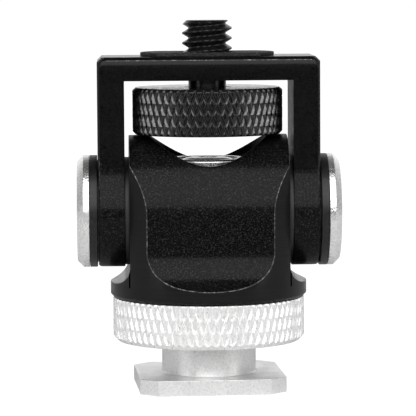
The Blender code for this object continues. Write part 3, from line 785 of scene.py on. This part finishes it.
# each leg runs into its round hub through a shallow concave blend, rolled over at its outer edge
flat_half = yoke_depth(0, TILT_Z + 8) - 0.003
blend_r = 6.0
up = math.sqrt((HUB_R + blend_r) ** 2 - (flat_half + blend_r) ** 2)
foot_angle = math.degrees(math.atan2(up, flat_half + blend_r))


def hub_outline(offset):
    """The hub and its blend in (Y, Z), pulled in by offset: all of it at the top, half on the round."""
    pts = []
    for t in np.linspace(-180 - foot_angle, foot_angle, 191):
        pts.append(((HUB_R - offset * 0.45) * math.cos(math.radians(t)),
                    TILT_Z + (HUB_R - offset * 0.45) * math.sin(math.radians(t))))
    side_arc = []
    for i in range(1, 17):
        share = i / 16
        t = math.radians(180 + foot_angle * (1 - share))
        r0 = blend_r + offset * (0.45 + 0.55 * share)
        side_arc.append((flat_half + blend_r + r0 * math.cos(t), TILT_Z + up + r0 * math.sin(t)))
    return pts + side_arc + [(-y, q) for y, q in reversed(side_arc)]


def hub_tool(name, s):
    """The hub as a loft along X, from inside the leg's inner face out to its own face."""
    inside = hx - LEG_T
    stops = [inside, hx - ROUND_SIDE] + [hx - ROUND_SIDE * q for q in (0.8, 0.6, 0.45, 0.34, 0.26, 0.18, 0.1)] + [HUB_FACE]
    rings = [hub_outline(edge_drop(min(1.0, (hx - x) / ROUND_SIDE)) if x > inside else 0.0) for x in stops]
    n = len(rings[0])
    verts = [(s * x, y, z) for x, ring_ in zip(stops, rings) for y, z in ring_]
    faces = []
    for k in range(len(stops) - 1):
        for j in range(n):
            jj = (j + 1) % n
            faces.append((k * n + j, k * n + jj, (k + 1) * n + jj, (k + 1) * n + j)[::s])
    faces.append(tuple(range(n))[::-s])
    faces.append(tuple(range((len(stops) - 1) * n, len(stops) * n))[::s])
    tool = from_arrays(name, verts, faces)
    bm = bmesh.new()
    bm.from_mesh(tool.data)
    bmesh.ops.recalc_face_normals(bm, faces=bm.faces)
    bm.to_mesh(tool.data)
    bm.free()
    return tool


for s in (1, -1):
    m = Matrix.Translation((0, 0, TILT_Z * MM)) @ Matrix.Rotation(s * math.pi / 2, 4, "Y")
    cut(yoke, hub_tool("hub_tool", s), "UNION")
    cut(yoke, rod("seat_tool", SEAT_R, SEAT_FLOOR, 15, 128, m))
    cut(yoke, rod("hub_bore_tool", 3.05, 9, 15, 96, m))
cut(yoke, rod("hole_tool", 3.4, 38, 43, 96))
cut(yoke, rod("clip_tool", 4.6, 40.8, 43, 96))
soften(yoke, 0.06, 2, 34, edge_material=1, flat=0.02, levels=(TILT_Z,))
split = yoke.modifiers.new("split", "TRIANGULATE")
split.min_vertices = 5
split.keep_custom_normals = True
for p in yoke.data.polygons:
    x, y, z = p.center / MM
    if p.material_index == 1 and not (z > YOKE_TOP - 0.7 or (abs(x) > HUB_FACE - 0.2 and z < TILT_Z + 7)):
        p.material_index = 0
stand_for(yoke, "tilt_head", "yoke", mats=["satin", "edge", "blast"])
for p in yoke.data.polygons:
    if p.material_index == 0 and p.center.z < (TILT_Z + 5.9) * MM:
        p.material_index = 2

# ------------------------------------------------------------------ tilt stack
for side, s in (("left", -1), ("right", 1)):
    m = Matrix.Translation((0, 0, TILT_Z * MM)) @ Matrix.Rotation(s * math.pi / 2, 4, "Y")
    ob = lathe(side + "_inner_washer_fine", rounded([(6.85, 10.59), (6.85, 10.065), (2.2, 10.065), (2.2, 10.59)], 0.03), 160, m)
    stand_for(ob, "swivel", side + "_inner_friction_washer", mats=["nylon"])
    ob = lathe(side + "_thrust_washer_fine", rounded([(6.5, 14.065), (6.5, 13.66), (2.2, 13.66), (2.2, 14.065)], 0.03), 160, m)
    stand_for(ob, "swivel", side + "_thrust_washer", mats=["oxide"])
    ob = lathe(side + "_spacer_ring_fine", rounded([(7.13, 15.05), (7.13, 14.08), (5.6, 14.08), (5.6, 15.05)], [0.05, 0.1, 0.1, 0.1], 4), 192, m)
    stand_for(ob, "swivel", side + "_spacer_ring", mats=["ring_black"])
    ob = lathe(side + "_end_cap_fine", rounded([(6.33, 16.65), (7.13, 15.85), (7.13, 15.10), (2.1, 15.10), (2.1, 15.80), (3.65, 15.80), (3.65, 16.65)],
                                               [0.09, 0.09, 0.06, 0.1, 0.1, 0.1, 0.12], 4), 192, m)
    stand_for(ob, "swivel", side + "_end_cap", mats=["silver_cap"])
    ob = plain_lathe(side + "_tilt_screw_fine", [(0, 16.50), (3.1, 16.50), (3.35, 16.43), (3.5, 16.25), (3.5, 15.85), (2.0, 15.85), (2.0, 5.5), (1.7, 5.2), (0, 5.2)], 96, m)
    hexa = plain_lathe("hex_tool", [(0, 18), (2.5 / math.sqrt(3), 18), (2.5 / math.sqrt(3), 14.90), (0, 14.45)], 6, m)
    cut(ob, hexa)
    soften(ob, 0.06, 2, 35)
    stand_for(ob, "swivel", side + "_tilt_screw", mats=["oxide"])

# ------------------------------------------------------------------ thumb wheel, screw, pad
wheel = knurled("thumb_wheel_fine", WHEEL_R, WHEEL_LOW, WHEEL_HIGH, 57, 1.43, 0.29, 0.36, per=14, shift=0.2,
                inner=[(8.7, WHEEL_LOW), (3.05, WHEEL_LOW), (3.05, WHEEL_HIGH), (8.7, WHEEL_HIGH)])
stand_for(wheel, "thumb_screw", "thumb_wheel", mats=["wheel", "painted_glint"])
# the knurl flanks that face up take the lighter copy: painted glint, chosen by which way each face points
for p in wheel.data.polygons:
    x, y, z = p.center / MM
    r = math.hypot(x, y)
    if r > WHEEL_R - 0.30 and WHEEL_LOW + 0.38 < z < WHEEL_HIGH - 0.38:
        out = (p.normal.x * x + p.normal.y * y) / r
        if out < 0.93 and p.normal.z > 0.10:
            p.material_index = 1
screw = threaded("camera_screw_fine", [(2.39, 41.2), (2.39, 38.3), (3.0, 38.3), (3.0, 33.2), (2.7, 32.9)],
                 41.35, SCREW_TOP, THREAD_R, THREAD_PITCH, SCREW_TOP, 0.55)
stand_for(screw, "thumb_screw", "camera_screw", mats=["oxide"])
span = math.degrees(math.asin(PAD_HALF_Y / PAD_R))
top_pad = prism("top_pad_fine", arc(0, 0, PAD_R, -span, span, 48) + arc(0, 0, PAD_R, 180 - span, 180 + span, 48),
                (PAD_HIGH - PAD_LOW) / 2, "XY", (0, 0, (PAD_LOW + PAD_HIGH) / 2))
cut(top_pad, rod("pad_hole_tool", 3.5, 42, 43, 96))
soften(top_pad, 0.08, 2, 30)
stand_for(top_pad, "tilt_head", "top_pad", mats=["rubber"])

# ------------------------------------------------------------------ CAD nodes that stay
for name, mat in (("swivel_disc_spring", "steel"), ("swivel_flat_washer", "steel"), ("swivel_friction_washer", "nylon"),
                  ("retaining_clip", "steel"), ("left_tilt_bush", "bronze"), ("right_tilt_bush", "bronze"),
                  ("left_disc_spring", "steel"), ("right_disc_spring", "steel")):
    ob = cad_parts[name]
    ob.data.materials.clear()
    ob.data.materials.append(M[mat])

# ------------------------------------------------------------------ floor and light
def sheet_mesh(name, verts, faces, emission=None, colour=(0.9, 0.9, 0.9)):
    mesh = bpy.data.meshes.new(name)
    mesh.from_pydata(verts, [], faces)
    ob = link(name, mesh)
    mat = bpy.data.materials.new(name)
    mat.use_nodes = True
    p = mat.node_tree.nodes["Principled BSDF"]
    p.inputs["Base Color"].default_value = (*colour, 1)
    p.inputs["Roughness"].default_value = 0.9
    p.inputs["Specular IOR Level"].default_value = 0.1
    if emission:
        p.inputs["Emission Color"].default_value = (1, 1, 1, 1)
        p.inputs["Emission Strength"].default_value = emission
    mesh.materials.append(mat)
    return ob


W = 3.0
floor = sheet_mesh("floor", [(-W, -0.12, 0), (W, -0.12, 0), (W, W, 0), (-W, W, 0)], [(0, 1, 2, 3)])
ft = floor.data.materials[0].node_tree
bright = ft.nodes.new("ShaderNodeEmission")
bright.inputs["Strength"].default_value = 1.0
surface = ft.nodes["Principled BSDF"]
surface.inputs["Base Color"].default_value = (0.78, 0.78, 0.78, 1)
dim = ft.nodes.new("ShaderNodeBsdfDiffuse")
dim.inputs["Color"].default_value = (0.2, 0.2, 0.2, 1)
total = ft.nodes.new("ShaderNodeAddShader")
ft.links.new(bright.outputs[0], total.inputs[0])
ft.links.new(dim.outputs[0], total.inputs[1])
seen = ft.nodes.new("ShaderNodeLightPath")
either = ft.nodes.new("ShaderNodeMixShader")
ft.links.new(seen.outputs["Is Camera Ray"], either.inputs["Fac"])
ft.links.new(surface.outputs[0], either.inputs[1])
ft.links.new(total.outputs[0], either.inputs[2])
ft.links.new(either.outputs[0], ft.nodes["Material Output"].inputs["Surface"])


def softbox(name, azimuth, elevation, distance, width, height, radiance):
    """A rectangular soft light aimed at the object. azimuth 0 is straight in front, positive to the right."""
    az, el = math.radians(azimuth), math.radians(elevation)
    centre = Vector((0, 0, 0.022))
    place = centre + distance * Vector((math.sin(az) * math.cos(el), -math.cos(az) * math.cos(el), math.sin(el)))
    data = bpy.data.lights.new(name, "AREA")
    data.shape = "RECTANGLE"
    data.size, data.size_y = width, height
    data.energy = radiance * math.pi * width * height
    ob = bpy.data.objects.new(name, data)
    ob.location = place
    ob.rotation_mode = "QUATERNION"
    ob.rotation_quaternion = (centre - place).to_track_quat("-Z", "Y")
    scene.collection.objects.link(ob)
    return ob


softbox("key", 0, 39, 0.60, 0.85, 0.70, 2.8)
softbox("left_strip", -62, 12, 0.60, 0.20, 0.55, 1.9)
softbox("right_strip", 62, 12, 0.60, 0.20, 0.55, 1.9)


def world_ramp(tree, value, low, high, stops):
    remap = tree.nodes.new("ShaderNodeMapRange")
    remap.inputs["From Min"].default_value = low
    remap.inputs["From Max"].default_value = high
    tree.links.new(value, remap.inputs["Value"])
    ramp = tree.nodes.new("ShaderNodeValToRGB")
    e = ramp.color_ramp.elements
    e[0].position, e[1].position = stops[0][0], stops[-1][0]
    for pos, _ in stops[1:-1]:
        e.new(pos)
    for el, (pos, val) in zip(sorted(e, key=lambda q: q.position), stops):
        el.color = (val, val, val, 1)
    tree.links.new(remap.outputs["Result"], ramp.inputs["Fac"])
    return ramp.outputs["Color"]


world = bpy.data.worlds.new("studio")
scene.world = world
world.use_nodes = True
wt = world.node_tree
wt.nodes.clear()
coord = wt.nodes.new("ShaderNodeTexCoord")
sep = wt.nodes.new("ShaderNodeSeparateXYZ")
wt.links.new(coord.outputs["Generated"], sep.inputs["Vector"])
depth = world_ramp(wt, sep.outputs["Y"], -1, 1, [(0.0, 0.03), (0.25, 0.06), (0.45, 0.22), (0.60, 0.42), (0.80, 0.66), (0.92, 0.95), (0.97, 1.05), (1.0, 1.05)])
height = world_ramp(wt, sep.outputs["Z"], -1, 1, [(0.0, 1.0), (0.70, 1.0), (0.86, 0.30), (0.97, 0.04)])
both = wt.nodes.new("ShaderNodeMix")
both.data_type = "RGBA"
both.blend_type = "MULTIPLY"
both.inputs[0].default_value = 1.0
wt.links.new(depth, both.inputs[6])
wt.links.new(height, both.inputs[7])
soft = wt.nodes.new("ShaderNodeBackground")
wt.links.new(both.outputs[2], soft.inputs["Color"])
plain = wt.nodes.new("ShaderNodeBackground")
plain.inputs["Color"].default_value = (1, 1, 1, 1)
plain.inputs["Strength"].default_value = 1.05
path = wt.nodes.new("ShaderNodeLightPath")
mixw = wt.nodes.new("ShaderNodeMixShader")
wt.links.new(path.outputs["Is Camera Ray"], mixw.inputs["Fac"])
wt.links.new(soft.outputs[0], mixw.inputs[1])
wt.links.new(plain.outputs[0], mixw.inputs[2])
outw = wt.nodes.new("ShaderNodeOutputWorld")
wt.links.new(mixw.outputs[0], outw.inputs["Surface"])

scene.view_settings.view_transform = "Standard"
scene.view_settings.look = "None"

# ------------------------------------------------------------------ camera
YAW, PITCH, ROLL = 2.0, 4.843, 0.371
DIST, HEIGHT = 0.34681, 0.05223
cam_data = bpy.data.cameras.new("camera")
cam_data.sensor_width = 36.0
cam_data.lens = 2726.8 / 416 * 36.0
cam_data.clip_start = 0.01
cam_data.clip_end = 20.0
cam = bpy.data.objects.new("camera", cam_data)
scene.collection.objects.link(cam)
yaw = math.radians(YAW)
cam.location = (-DIST * math.sin(yaw), -DIST * math.cos(yaw), HEIGHT)
cam.rotation_mode = "QUATERNION"
cam.rotation_quaternion = (Matrix.Rotation(-yaw, 3, "Z") @ Matrix.Rotation(math.radians(90 - PITCH), 3, "X")
                           @ Matrix.Rotation(math.radians(-ROLL), 3, "Z")).to_quaternion()
scene.camera = cam

bpy.context.view_layer.update()
